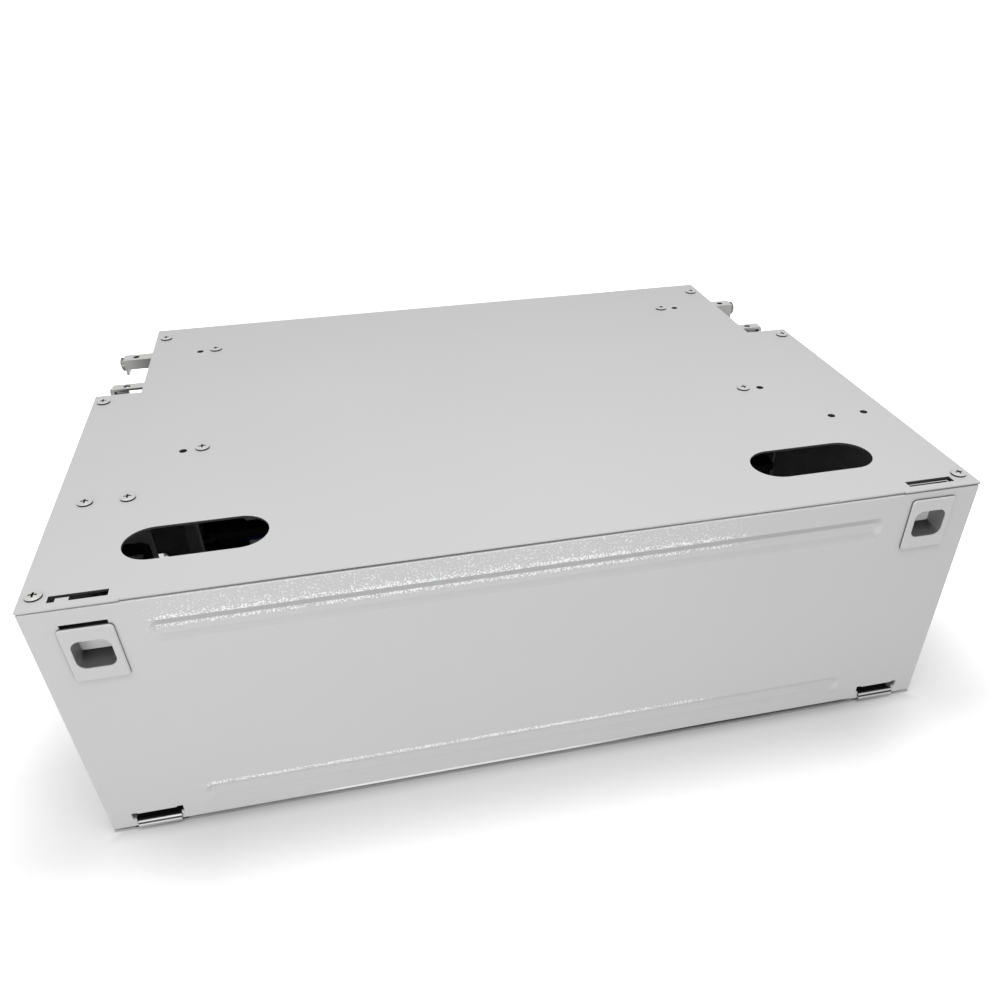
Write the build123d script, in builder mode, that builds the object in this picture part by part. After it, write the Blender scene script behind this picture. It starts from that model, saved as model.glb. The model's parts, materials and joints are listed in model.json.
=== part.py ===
from build123d import *
import os

# Rack-mounted fibre patch housing with six sliding trays behind a drop-down door.
# Millimetres. X runs across the rack, Y from the door to the rear, Z up.
# The origin is on the underside, midway across, in the plane of the rack flanges.

# Folded steel case
panel_width = 482.6
step_width = 28.3
case_height = 153.0
front_depth = 233.0
rear_depth = 114.0
sheet = 1.2
bend_radius = 1.8
flange_width = 14.0
front_flange_width = 10.0
rear_flange_width = 9.0
wall_setback = 11.5
cover_front_step = 0.7

# Clearances
door_gap = 0.7
screw_clearance = 0.1
slide_clearance = 0.2
hinge_clearance = 0.13

# Rack slots in the step between the wide and the narrow part
rack_slot_inset = 8.75
rack_slot_spacing_z = 101.6
rack_slot_width = 6.8
rack_slot_length = 10.0

# Obround fibre openings in the cover and the base
opening_length = 71.0
opening_width = 30.0
opening_inset = 75.3
opening_setback = 43.8

# Pan head screws
screw_diameter = 4.0
screw_head_diameter = 8.0
screw_head_height = 1.6
screw_length = 6.0
cross_width = 1.0
rim_share = 0.55
csk_head_diameter = 6.4

# Screw places on the cover
corner_inset = 6.5
corner_setback = 9.4
step_screw_inset = 11.0
rear_screw_inset_x = 7.2
rear_screw_inset_y = 18.6

# Tray cage
cage_inset = 65.3
cage_front_setback = 100.0
cage_flange_width = 14.0
cage_rear_gap = 2.0
cage_screw_inset = 7.2
cage_screw_setback = 141.6
cage_screw_rear_inset = 49.5
spare_hole_diameter = 4.6
spare_hole_offset_x = 10.9
spare_hole_offset_y = 1.1
cage_window_length = 34.0
cage_window_end = 21.0
cage_window_radius = 7.0
cage_window_margin = 7.0

# Trays and their rails
tray_count = 6
tray_first_z = 7.2
tray_top_clearance = 4.0
tray_gap = 2.1
tray_wall = 1.6
tray_front_setback = 85.0
tray_rear_clearance = 14.8
tray_corner_radius = 8.0
tray_side_gap = 1.3
tray_lip = 4.0
entry_notch = 24.0
finger_slot_length = 44.0
finger_slot_width = 9.0
rail_depth = 6.0
rail_height = 9.0
rail_end_gap = 9.6
runner_thickness = 3.0
runner_depth = 4.6
runner_height = 9.0

# Adapters, twelve in a row on each tray
adapter_count = 12
adapter_end_margin = 11.5
adapter_width = 13.0
adapter_height = 9.4
adapter_length = 27.0
adapter_flange_gap = 4.0
adapter_flange = 2.0
adapter_wall_setback = 24.0
adapter_wall = 2.4
adapter_axis_height = 11.0
cap_length = 8.0
cap_step = 1.6

# Splice comb, fibre hubs and tray lid
splice_pitch = 5.4
splice_rib = 1.2
splice_length = 42.0
splice_rib_height = 6.0
hub_diameter = 62.0
hub_inset = 79.5
hub_rear_inset = 98.0
lid_thickness = 1.2
lid_recess = 0.7
comb_rear_inset = 22.0

# Drop-down door
door_bottom = 2.4
door_return = 10.0
door_return_inset = 44.3
fold_radius = 0.6
rib_inset = 52.4
rib_height = 11.7
rib_depth = 1.4
rib_slope = 3.0
rib_upper_drop = 18.7
rib_lower_rise = 16.2
hinge_inset = 25.1
hinge_strip_height = 2.0
hinge_slot_width = 23.8
hinge_slot_height = 7.2
hinge_ear_width = 3.2
hinge_ear_height = 4.7
hinge_ear_rise = 0.7
hook_width = 22.8
hook_relief = 0.7
hook_ramp = 4.0

# Sliding latches
latch_inset = 26.1
latch_width = 25.4
latch_height = 31.5
latch_proud = 1.5
latch_travel = 8.4
raised_latch_lift = 6.5
latch_top_drop = 10.2
latch_window_drop = 8.3
latch_window_width = 21.4
latch_window_height = 26.6
pocket_width = 18.0
pocket_height = 16.3
pocket_radius = 4.5
pocket_depth = 12.5
pocket_back_radius = 0.8
pocket_floor_rise = 2.0
tub_wall = 1.0
plate_radius = 2.0
bolt_width = 25.0
bolt_thickness = 4.6
bolt_rib = 0.8
bolt_slot_setback = 5.8
bolt_slot_width = 26.3
bolt_slot_depth = 5.1
guide_tab_inset = 19.3
guide_tab_width = 6.0
guide_tab_reach = 2.8
guide_tab_clearance = 0.4
bolt_frame_wall = 2.2

# Fibre bracket in the left side compartment
bracket_inset = 26.5
bracket_hole_spacing = 21.6
bracket_setback = 91.6
bracket_width = 29.4
bracket_sheet = 1.5
bracket_flange = 13.0
ring_count = 3
ring_end = 14.0
ring_width = 28.0
ring_height = 24.0
ring_wire = 3.0
ring_band = 6.0

# Cable clamps on the narrow part
arm_drop = 8.0
arm_sheet = 1.5
arm_hole = 4.5
arm_hole_reach = 15.2
sheath_arm_rear_inset = 28.0
sheath_arm_width = 10.6
sheath_arm_reach = 23.8
sheath_arm_web = 7.0
sheath_screw_diameter = 5.0
sheath_screw_head = 9.5
core_arm_y = 32.2
core_arm_width = 8.4
core_arm_reach = 24.8
core_screw_diameter = 3.0
core_screw_head = 5.6
arm_foot_height = 18.0
arm_end_height = 11.0
sheath_screw_drop = 4.5
core_screw_drop = 3.6
arm_screw_length = 10.0

# Cable entries in the narrow side walls
entry_y = 58.5
entry_height = 80.0
entry_width = 30.0
grommet_lip = 3.0
grommet_band = 1.6

# Earth stud on the rear panel
stud_diameter = 8.0
stud_length = 22.0
stud_inset = 35.0
stud_height = 30.0
nut_across_flats = 13.0
nut_height = 6.5
washer_diameter = 16.0
washer_thickness = 1.6

# Places worked out from the sizes above
half_panel = panel_width / 2
half_body = half_panel - step_width
body_width = 2 * half_body
front = -front_depth
mid_height = case_height / 2
cover_underside = case_height - sheet
door_face = front - sheet
wall_front = front + wall_setback
rear_inside = rear_depth - sheet
door_top = cover_underside - door_gap
rack_slot_x = half_panel - rack_slot_inset
opening_x = half_panel - opening_inset
corner_screws = [
    (half_panel - corner_inset, front + corner_setback),
    (half_panel - corner_inset, -step_screw_inset),
    (half_body - rear_screw_inset_x, rear_depth - rear_screw_inset_y),
]
cage_half_width = half_panel - cage_inset
cage_screw_x = cage_half_width - cage_screw_inset
cage_screws = [
    (cage_screw_x, front + cage_screw_setback),
    (cage_screw_x, rear_depth - cage_screw_rear_inset),
]
cage_front = front + cage_front_setback
cage_rear = rear_inside - rear_flange_width - cage_rear_gap
cage_inside = cage_half_width - sheet
cage_window_front = cage_rear - cage_window_margin - cage_window_length
rail_front = cage_front + sheet
rail_length = cage_window_front - rail_end_gap - rail_front
tray_half_width = cage_inside - rail_depth - tray_side_gap
tray_front = front + tray_front_setback
tray_rear = rear_inside - tray_rear_clearance
tray_length = tray_rear - tray_front
tray_pitch = (cover_underside - tray_top_clearance - tray_first_z) / tray_count
tray_height = tray_pitch - tray_gap
adapter_pitch = 2 * (tray_half_width - adapter_end_margin) / adapter_count
adapter_wall_front = tray_front + adapter_wall_setback
adapter_wall_back = adapter_wall_front + adapter_wall
hub_x = tray_half_width - hub_inset
hub_y = tray_rear - hub_rear_inset
comb_y = tray_rear - comb_rear_inset - splice_length / 2
hole_radius = (screw_diameter + screw_clearance) / 2
hinge_x = half_panel - hinge_inset
hinge_y = front - sheet / 2
hinge_z = door_bottom + hinge_strip_height / 2
hook_inner = (sheet**2 + hinge_strip_height**2) ** 0.5 / 2 + hinge_clearance
hook_outer = hook_inner + sheet
latch_x = half_panel - latch_inset
latch_plate_top = door_top - latch_top_drop
slot_front = front + bolt_slot_setback - bolt_slot_depth / 2
guide_tab_x = half_panel - guide_tab_inset
latch_mid_z = latch_plate_top - latch_height / 2
window_top = door_top - latch_window_drop
window_bottom = window_top - latch_window_height
tub_height = latch_window_height - latch_travel - 2 * slide_clearance
tub_bottom = window_bottom + slide_clearance
tub_top = tub_bottom + tub_height
tub_width = latch_window_width - 2 * slide_clearance
bolt_tip = case_height - latch_travel
door_return_half = half_panel - door_return_inset
rib_length = 2 * (half_panel - rib_inset)
bracket_x = half_panel - bracket_inset
bracket_y = front + bracket_setback
ring_pitch = (case_height - 2 * ring_end) / ring_count
sheath_arm_y = rear_depth - sheath_arm_rear_inset
stud_x = half_body - stud_inset

os.makedirs("parts", exist_ok=True)


# Writes one finished piece under its own name
def save(builder, name):
    builder.part.label = name
    export_step(builder.part, "parts/" + name + ".step")


# Both mirror images of a list of places
def both_sides(places):
    return places + [(-x, y) for x, y in places]


# T-shaped outline: wide ahead of the rack flanges, narrow behind them
def tee_outline(front_edge):
    with BuildSketch() as outline:
        with BuildLine():
            Polyline(
                (-half_panel, front_edge), (half_panel, front_edge), (half_panel, 0),
                (half_body, 0), (half_body, rear_depth), (-half_body, rear_depth),
                (-half_body, 0), (-half_panel, 0), close=True,
            )
        make_face()
    return outline.sketch


# Pan head screw with a cross recess, seated at z = 0
def pan_screw(diameter, head_diameter, head_height, length):
    with BuildPart() as screw:
        with BuildSketch(Plane.XZ):
            with BuildLine():
                rim_height = head_height * rim_share
                crown_height = head_height - rim_height
                Polyline(
                    (0, head_height), (0, 0), (head_diameter / 2, 0), (head_diameter / 2, rim_height),
                )
                ThreePointArc(
                    (head_diameter / 2, rim_height),
                    (head_diameter / 4, rim_height + crown_height * 0.75), (0, head_height),
                )
            make_face()
        revolve(axis=Axis.Z)
        with BuildSketch(Plane.XY.offset(head_height)):
            Rectangle(head_diameter * 0.5, cross_width)
            Rectangle(cross_width, head_diameter * 0.5)
        extrude(amount=-head_height * 0.6, mode=Mode.SUBTRACT)
        with BuildSketch():
            Circle(diameter / 2)
        extrude(amount=-length)
    return screw.part


# Countersunk screw, flush with the underside of the sheet, head down at z = 0
def flush_screw(length):
    with BuildPart() as screw:
        with BuildSketch(Plane.XZ):
            with BuildLine():
                Polyline(
                    (0, 0), (csk_head_diameter / 2, 0), (screw_diameter / 2, sheet),
                    (screw_diameter / 2, length), (0, length), close=True,
                )
            make_face()
        revolve(axis=Axis.Z)
    return screw.part


# The matching hole: a cone through one sheet and a straight hole above it
def flush_hole():
    with BuildPart() as cutter:
        with BuildSketch(Plane.XZ):
            with BuildLine():
                Polyline(
                    (0, 0), (csk_head_diameter / 2 + screw_clearance / 2, 0),
                    (hole_radius, sheet), (hole_radius, sheet * 2), (0, sheet * 2), close=True,
                )
            make_face()
        revolve(axis=Axis.Z)
    return cutter.part


# Sketch plane that faces the door, at a distance y from the rack flanges
def facing(y):
    return Plane.XZ.offset(-y)


# Base plate: tee outline with fibre openings and a hook at each end of the front edge
hook_root = front + hook_ramp + sheet
hook_floor = hinge_z - hook_outer

with BuildPart() as base_plate:
    with BuildSketch():
        add(tee_outline(door_face))
        with Locations(
            (-opening_x, front + opening_setback), (opening_x, front + opening_setback)
        ):
            SlotOverall(opening_length, opening_width, mode=Mode.SUBTRACT)
        with Locations((-hinge_x, door_face), (hinge_x, door_face)):
            Rectangle(
                hook_width + 2 * hook_relief, 2 * (hook_root - door_face), mode=Mode.SUBTRACT
            )
    extrude(amount=sheet)
    with Locations(*both_sides(corner_screws + cage_screws)):
        add(flush_hole(), mode=Mode.SUBTRACT)
    for side in (-1, 1):
        with BuildSketch(Plane.YZ.offset(side * hinge_x)):
            with BuildLine():
                Polyline((hook_root, 0), (front, hook_floor), (hinge_y, hook_floor))
                outer_arc = CenterArc((hinge_y, hinge_z), hook_outer, 270, -220)
                inner_arc = CenterArc((hinge_y, hinge_z), hook_inner, 270, -220)
                Line(outer_arc @ 1, inner_arc @ 1)
                Polyline(
                    (hinge_y, hook_floor + sheet), (front, hook_floor + sheet),
                    (hook_root, sheet), (hook_root, 0),
                )
            make_face()
        extrude(amount=hook_width / 2, both=True)
save(base_plate, "base_plate")

# Top cover: the same outline, with its front edge stepped back where the door's return lies
with BuildPart() as top_cover:
    with BuildSketch(Plane.XY.offset(cover_underside)):
        add(tee_outline(door_face))
        with Locations((0, door_face)):
            Rectangle(2 * door_return_half, 2 * cover_front_step, mode=Mode.SUBTRACT)
        with Locations(
            (-opening_x, front + opening_setback), (opening_x, front + opening_setback)
        ):
            SlotOverall(opening_length, opening_width, mode=Mode.SUBTRACT)
        with Locations(
            (-latch_x, front + bolt_slot_setback), (latch_x, front + bolt_slot_setback)
        ):
            Rectangle(bolt_slot_width, bolt_slot_depth, mode=Mode.SUBTRACT)
        with Locations((-guide_tab_x, slot_front + guide_tab_reach / 2)):
            Rectangle(guide_tab_width, guide_tab_reach)
        spare_holes = [(x + spare_hole_offset_x, y - spare_hole_offset_y) for x, y in cage_screws]
        bracket_holes = [
            (bracket_x - bracket_hole_spacing / 2, bracket_y),
            (bracket_x + bracket_hole_spacing / 2, bracket_y),
        ]
        with Locations(*both_sides(corner_screws + cage_screws)):
            Circle(hole_radius, mode=Mode.SUBTRACT)
        with Locations(*both_sides(spare_holes + bracket_holes)):
            Circle(spare_hole_diameter / 2, mode=Mode.SUBTRACT)
    extrude(amount=sheet)
save(top_cover, "top_cover")


# Side sheet: wide wall, rack flange and narrow wall folded from one sheet,
# with flanges turned in under the cover and over the base
def side_sheet(side):
    with BuildPart() as wall:
        with BuildSketch(Plane.XY.offset(sheet)):
            with BuildLine():
                Polyline(
                    (half_panel, wall_front), (half_panel, 0), (half_body, 0),
                    (half_body, rear_inside), (half_body - sheet, rear_inside),
                    (half_body - sheet, -sheet), (half_panel - sheet, -sheet),
                    (half_panel - sheet, wall_front), close=True,
                )
            make_face()
        extrude(amount=case_height - 2 * sheet)
        bends = wall.edges().filter_by(Axis.Z)
        fillet(bends.filter_by_position(Axis.Y, 0, 0).sort_by(Axis.X)[-1], bend_radius)
        bends = wall.edges().filter_by(Axis.Z)
        fillet(
            bends.filter_by_position(Axis.Y, -sheet, -sheet).sort_by(Axis.X)[0], bend_radius
        )
        for level in (sheet, case_height - 2 * sheet):
            with BuildSketch(Plane.XY.offset(level)):
                with BuildLine():
                    Polyline(
                        (half_panel - sheet - front_flange_width, wall_front),
                        (half_panel - sheet, wall_front), (half_panel - sheet, -sheet),
                        (half_body - sheet, -sheet), (half_body - sheet, rear_inside),
                        (half_body - sheet - flange_width, rear_inside),
                        (half_body - sheet - flange_width, -sheet - flange_width),
                        (half_panel - sheet - front_flange_width, -sheet - flange_width),
                        close=True,
                    )
                make_face()
                with Locations((half_panel - corner_inset, front + corner_setback)):
                    Circle(screw_head_diameter / 2 + sheet / 2)
                with Locations(*corner_screws):
                    Circle(hole_radius, mode=Mode.SUBTRACT)
            extrude(amount=sheet)
        slot_places = [(rack_slot_x, mid_height - rack_slot_spacing_z / 2),
                       (rack_slot_x, mid_height + rack_slot_spacing_z / 2)]
        with BuildSketch(facing(0)):
            with Locations(*slot_places):
                SlotOverall(rack_slot_length, rack_slot_width)
        extrude(amount=sheet * 2, mode=Mode.SUBTRACT)
        with BuildSketch(Plane.YZ.offset(half_body)):
            with Locations((entry_y, mid_height)):
                SlotOverall(entry_height, entry_width, rotation=90)
        extrude(amount=-sheet * 2, mode=Mode.SUBTRACT)
        if side < 0:
            mirror(about=Plane.YZ, mode=Mode.REPLACE)
    return wall


save(side_sheet(1), "side_right")
save(side_sheet(-1), "side_left")

# Rear panel with a flange turned forward under the cover and one down each side
with BuildPart() as rear_panel:
    with BuildSketch(facing(rear_depth)):
        with Locations((0, mid_height)):
            Rectangle(body_width, case_height - 2 * sheet)
        with Locations((-stud_x, stud_height)):
            Circle(stud_diameter / 2 + screw_clearance, mode=Mode.SUBTRACT)
    extrude(amount=sheet)
    panel_flange_half = half_body - sheet - flange_width - cage_rear_gap
    with BuildSketch(Plane.XY.offset(case_height - 2 * sheet)):
        with Locations((0, rear_inside - rear_flange_width / 2)):
            Rectangle(2 * panel_flange_half, rear_flange_width)
    extrude(amount=sheet)
    side_tab_height = case_height - 4 * sheet - 2 * flange_width
    for side in (-1, 1):
        with BuildSketch(Plane.YZ.offset(side * (half_body - 1.5 * sheet))):
            with Locations((rear_inside - rear_flange_width / 2, mid_height)):
                Rectangle(rear_flange_width, side_tab_height)
        extrude(amount=sheet / 2, both=True)
save(rear_panel, "rear_panel")


# Cage plate: carries the tray rails, screwed to the cover and the base
def cage_plate(side):
    with BuildPart() as plate:
        cage_length = cage_rear - cage_front
        cage_mid = (cage_rear + cage_front) / 2
        with BuildSketch(Plane.XY.offset(sheet)):
            with Locations((side * (cage_half_width - sheet / 2), cage_mid)):
                Rectangle(sheet, cage_length)
        extrude(amount=case_height - 2 * sheet)
        for level in (sheet, case_height - 2 * sheet):
            with BuildSketch(Plane.XY.offset(level)):
                with Locations((side * (cage_half_width - cage_flange_width / 2), cage_mid)):
                    Rectangle(cage_flange_width, cage_length)
                with Locations(*[(side * x, y) for x, y in cage_screws]):
                    Circle(hole_radius, mode=Mode.SUBTRACT)
            extrude(amount=sheet)
        window_y = cage_window_front + cage_window_length / 2
        cage_window_height = case_height - 2 * cage_window_end
        with BuildSketch(Plane.YZ.offset(side * cage_half_width)):
            with Locations((window_y, mid_height)):
                RectangleRounded(cage_window_length, cage_window_height, cage_window_radius)
        extrude(amount=-side * sheet, mode=Mode.SUBTRACT)
    return plate


save(cage_plate(1), "cage_right")
save(cage_plate(-1), "cage_left")


# Guide rails: one grooved strip on the cage plate for each tray
def guide_rails(side):
    with BuildPart() as rails:
        for number in range(tray_count):
            groove_mid = tray_first_z + number * tray_pitch + runner_height + runner_thickness / 2
            with BuildSketch(facing(rail_front)):
                with Locations((side * (cage_inside - rail_depth / 2), groove_mid)):
                    Rectangle(rail_depth, rail_height)
                groove_depth = rail_depth - sheet
                with Locations((side * (cage_inside - rail_depth + groove_depth / 2), groove_mid)):
                    Rectangle(
                        groove_depth, runner_thickness + 2 * slide_clearance, mode=Mode.SUBTRACT
                    )
            extrude(amount=-rail_length)
    return rails


save(guide_rails(1), "rails_right")
save(guide_rails(-1), "rails_left")

# Screws that show on the cover
with BuildPart() as cover_screws:
    with Locations(*[(x, y, case_height) for x, y in both_sides(corner_screws)]):
        add(pan_screw(screw_diameter, screw_head_diameter, screw_head_height, screw_length))
save(cover_screws, "cover_screws")

with BuildPart() as cage_cover_screws:
    with Locations(*[(x, y, case_height) for x, y in both_sides(cage_screws)]):
        add(pan_screw(screw_diameter, screw_head_diameter, screw_head_height, screw_length))
save(cage_cover_screws, "cage_screws")

with BuildPart() as bracket_screws:
    with Locations(*[(-x, y, case_height) for x, y in bracket_holes]):
        add(pan_screw(screw_diameter, screw_head_diameter, screw_head_height, screw_length))
save(bracket_screws, "bracket_screws")

with BuildPart() as base_screws:
    with Locations(*both_sides(corner_screws + cage_screws)):
        add(flush_screw(sheet * 3))
save(base_screws, "base_screws")

# Fibre bracket: a strip between cover and base in the left side compartment
with BuildPart() as fibre_bracket:
    strip_y = bracket_y + bracket_flange / 2
    with BuildSketch(Plane.XY.offset(sheet)):
        with Locations((-bracket_x, strip_y + bracket_sheet / 2)):
            Rectangle(bracket_width, bracket_sheet)
    extrude(amount=case_height - 2 * sheet)
    with BuildSketch(Plane.XY.offset(cover_underside - bracket_sheet)):
        with Locations((-bracket_x, bracket_y)):
            Rectangle(bracket_width, bracket_flange)
        with Locations(*[(-x, y) for x, y in bracket_holes]):
            Circle(hole_radius, mode=Mode.SUBTRACT)
    extrude(amount=bracket_sheet)
save(fibre_bracket, "fibre_bracket")

# Open rings that hold the patch cords against the bracket
with BuildPart() as fibre_rings:
    for number in range(ring_count):
        ring_z = mid_height + (number - (ring_count - 1) / 2) * ring_pitch
        with BuildSketch(Plane.XY.offset(ring_z - ring_band / 2)):
            with Locations((-bracket_x, strip_y - ring_height / 2)):
                RectangleRounded(ring_width, ring_height, ring_height / 3)
                RectangleRounded(
                    ring_width - 2 * ring_wire, ring_height - 2 * ring_wire,
                    ring_height / 3 - ring_wire, mode=Mode.SUBTRACT,
                )
            with Locations((-bracket_x, strip_y - ring_height)):
                Rectangle(ring_wire, 3 * ring_wire, mode=Mode.SUBTRACT)
        extrude(amount=ring_band)
save(fibre_rings, "fibre_rings")


# Arm of a cable clamp: foot on the narrow wall, arm and turned-down end
def clamp_arm(y, width, reach, web):
    top = case_height - arm_drop
    with BuildPart() as arm:
        with BuildSketch(facing(y + width / 2)):
            with BuildLine():
                Polyline(
                    (half_body, top), (half_body + reach, top),
                    (half_body + reach, top - arm_end_height),
                    (half_body + reach - arm_sheet, top - arm_end_height),
                    (half_body + reach - arm_sheet, top - arm_sheet),
                    (half_body + arm_sheet, top - arm_sheet),
                    (half_body + arm_sheet, top - arm_foot_height),
                    (half_body, top - arm_foot_height), close=True,
                )
            make_face()
        extrude(amount=width)
        if web > 0:
            with BuildSketch(facing(y - width / 2), facing(y + width / 2 - arm_sheet)):
                with Locations((half_body + reach / 2, top - web / 2)):
                    Rectangle(reach, web)
            extrude(amount=-arm_sheet)
        with BuildSketch(Plane.XY.offset(top)):
            with Locations((half_body + arm_hole_reach, y)):
                Circle(arm_hole / 2)
        extrude(amount=-arm_sheet, mode=Mode.SUBTRACT)
    return arm.part


# The upper and the lower arm on one side of the case
def arm_pair(side, y, width, reach, web, screw_size, screw_drop):
    with BuildPart() as pair:
        add(clamp_arm(y, width, reach, web))
        with BuildSketch(Plane.YZ.offset(half_body + reach)):
            with Locations((y, case_height - arm_drop - screw_drop)):
                Circle(screw_size / 2 + screw_clearance / 2)
        extrude(amount=-arm_sheet, mode=Mode.SUBTRACT)
        mirror(about=Plane.XY.offset(mid_height))
        if side < 0:
            mirror(about=Plane.YZ, mode=Mode.REPLACE)
    return pair


# Screws through the turned-down ends of a pair of arms
def arm_screws(side, y, reach, screw_size, head, screw_drop):
    with BuildPart() as screws:
        for height in (arm_drop + screw_drop, case_height - arm_drop - screw_drop):
            with Locations(Location((side * (half_body + reach), y, height), (0, side * 90, 0))):
                add(pan_screw(screw_size, head, head * 0.4, arm_screw_length))
    return screws


for side, word in ((-1, "left"), (1, "right")):
    save(
        arm_pair(
            side, sheath_arm_y, sheath_arm_width, sheath_arm_reach, sheath_arm_web,
            sheath_screw_diameter, sheath_screw_drop,
        ),
        "sheath_clamp_" + word,
    )
    save(
        arm_pair(
            side, core_arm_y, core_arm_width, core_arm_reach, 0, core_screw_diameter,
            core_screw_drop,
        ),
        "core_clamp_" + word,
    )
    save(
        arm_screws(
            side, sheath_arm_y, sheath_arm_reach, sheath_screw_diameter, sheath_screw_head,
            sheath_screw_drop,
        ),
        "sheath_screws_" + word,
    )
    save(
        arm_screws(
            side, core_arm_y, core_arm_reach, core_screw_diameter, core_screw_head,
            core_screw_drop,
        ),
        "core_screws_" + word,
    )


# Rubber edge round a cable entry: a lip on each face of the wall and a throat between them
def entry_grommet(side):
    with BuildPart() as grommet:
        throat = Plane.YZ.offset(side * (half_body - sheet))
        with BuildSketch(throat):
            with Locations((entry_y, mid_height)):
                SlotOverall(entry_height, entry_width, rotation=90)
        extrude(amount=side * sheet)
        lip_planes = (
            Plane.YZ.offset(side * half_body),
            Plane.YZ.offset(side * (half_body - sheet - grommet_band)),
        )
        with BuildSketch(*lip_planes):
            with Locations((entry_y, mid_height)):
                SlotOverall(
                    entry_height + 2 * grommet_lip, entry_width + 2 * grommet_lip, rotation=90
                )
        extrude(amount=side * grommet_band)
        with BuildSketch(Plane.YZ.offset(side * (half_body - 3 * grommet_band))):
            with Locations((entry_y, mid_height)):
                SlotOverall(
                    entry_height - 2 * grommet_band, entry_width - 2 * grommet_band, rotation=90
                )
        extrude(amount=side * 6 * grommet_band, mode=Mode.SUBTRACT)
    return grommet


save(entry_grommet(1), "grommet_right")
save(entry_grommet(-1), "grommet_left")

# Earth stud through the rear panel, held by a nut and washer on each face
with BuildPart() as earth_stud:
    with BuildSketch(facing(rear_inside - nut_height - sheet)):
        with Locations((-stud_x, stud_height)):
            Circle(stud_diameter / 2)
    extrude(amount=-stud_length - nut_height)
save(earth_stud, "earth_stud")

with BuildPart() as earth_nuts:
    outer_seat = rear_depth + washer_thickness
    with BuildSketch(facing(rear_depth)):
        with Locations((-stud_x, stud_height)):
            Circle(washer_diameter / 2)
    extrude(amount=-washer_thickness)
    with BuildSketch(facing(outer_seat)):
        with Locations((-stud_x, stud_height)):
            RegularPolygon(nut_across_flats / 2, 6, major_radius=False)
    extrude(amount=-nut_height)
    with BuildSketch(facing(rear_inside)):
        with Locations((-stud_x, stud_height)):
            RegularPolygon(nut_across_flats / 2, 6, major_radius=False)
    extrude(amount=nut_height)
    with BuildSketch(facing(rear_inside - 2 * nut_height)):
        with Locations((-stud_x, stud_height)):
            Circle(stud_diameter / 2 + screw_clearance)
    extrude(amount=-6 * nut_height, mode=Mode.SUBTRACT)
save(earth_nuts, "earth_nuts")

# One tray with its floor at z = 0: walls, adapter wall, runners and fibre hubs
runner_half = cage_inside - rail_depth + runner_depth
hub_height = tray_height - lid_recess - lid_thickness
tray_mid = (tray_front + tray_rear) / 2
adapter_places = [
    ((number - (adapter_count - 1) / 2) * adapter_pitch, adapter_axis_height)
    for number in range(adapter_count)
]

with BuildPart() as tray_base:
    with BuildSketch():
        with Locations((0, tray_mid)):
            Rectangle(2 * tray_half_width, tray_length)
    extrude(amount=tray_height)
    fillet(tray_base.edges().filter_by(Axis.Z).group_by(Axis.Y)[-1], tray_corner_radius)
    with BuildSketch(Plane.XY.offset(tray_wall)):
        with Locations((0, tray_mid)):
            inside = Rectangle(2 * (tray_half_width - tray_wall), tray_length - 2 * tray_wall)
        fillet(inside.vertices().group_by(Axis.Y)[-1], tray_corner_radius - tray_wall)
    extrude(amount=tray_height, mode=Mode.SUBTRACT)
    with BuildSketch(facing(tray_front)):
        with Locations((0, tray_height)):
            Rectangle(2 * tray_half_width, 2 * (tray_height - tray_lip))
    extrude(amount=tray_front - adapter_wall_front, mode=Mode.SUBTRACT)
    with BuildSketch(facing(adapter_wall_front)):
        with Locations((0, hub_height / 2)):
            Rectangle(2 * tray_half_width, hub_height)
        with Locations(*adapter_places):
            Rectangle(
                adapter_width + screw_clearance, adapter_height + screw_clearance,
                mode=Mode.SUBTRACT,
            )
    extrude(amount=-adapter_wall)
    with BuildSketch():
        with Locations((-hub_x, hub_y), (hub_x, hub_y)):
            Circle(hub_diameter / 2)
            Circle(hub_diameter / 2 - tray_wall, mode=Mode.SUBTRACT)
    extrude(amount=hub_height)
    with BuildSketch(Plane.XY.offset(tray_height)):
        notch_x = tray_half_width - tray_corner_radius - entry_notch
        with Locations((-notch_x, tray_rear), (notch_x, tray_rear)):
            Rectangle(entry_notch, 3 * tray_wall)
    extrude(amount=tray_wall - tray_height, mode=Mode.SUBTRACT)
    with BuildSketch():
        with Locations((0, tray_front + adapter_wall_setback / 3)):
            SlotOverall(finger_slot_length, finger_slot_width)
    extrude(amount=tray_wall, mode=Mode.SUBTRACT)
    runner_start = adapter_wall_back
    runner_length = tray_rear - tray_corner_radius - runner_start
    with BuildSketch(facing(runner_start)):
        for side in (-1, 1):
            with Locations((side * (tray_half_width + runner_half) / 2,
                            runner_height + runner_thickness / 2)):
                Rectangle(runner_half - tray_half_width, runner_thickness)
    extrude(amount=-runner_length)

# Twelve simplex adapters seated in the adapter wall, each with a dust cap at both ends
with BuildPart() as adapter_set:
    with BuildSketch(facing(adapter_wall_front - adapter_flange)):
        with Locations(*adapter_places):
            Rectangle(adapter_pitch - adapter_flange_gap, adapter_height)
    extrude(amount=-adapter_flange)
    with BuildSketch(facing(adapter_wall_front - adapter_length / 2)):
        with Locations(*adapter_places):
            Rectangle(adapter_width, adapter_height)
    extrude(amount=-adapter_length)
    with BuildSketch(facing(adapter_wall_front - adapter_length / 2 - cap_length)):
        with Locations(*adapter_places):
            Rectangle(adapter_width - cap_step, adapter_height - cap_step)
    extrude(amount=-adapter_length - 2 * cap_length)

# Comb that holds the splice sleeves side by side
with BuildPart() as splice_comb:
    comb_width = splice_pitch * adapter_count + splice_rib
    with BuildSketch(Plane.XY.offset(tray_wall)):
        with Locations((0, comb_y)):
            Rectangle(comb_width, splice_length)
    extrude(amount=splice_rib)
    with BuildSketch(Plane.XY.offset(tray_wall + splice_rib)):
        with Locations((0, comb_y)):
            with GridLocations(splice_pitch, 1, adapter_count + 1, 1):
                Rectangle(splice_rib, splice_length)
    extrude(amount=splice_rib_height)

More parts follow.
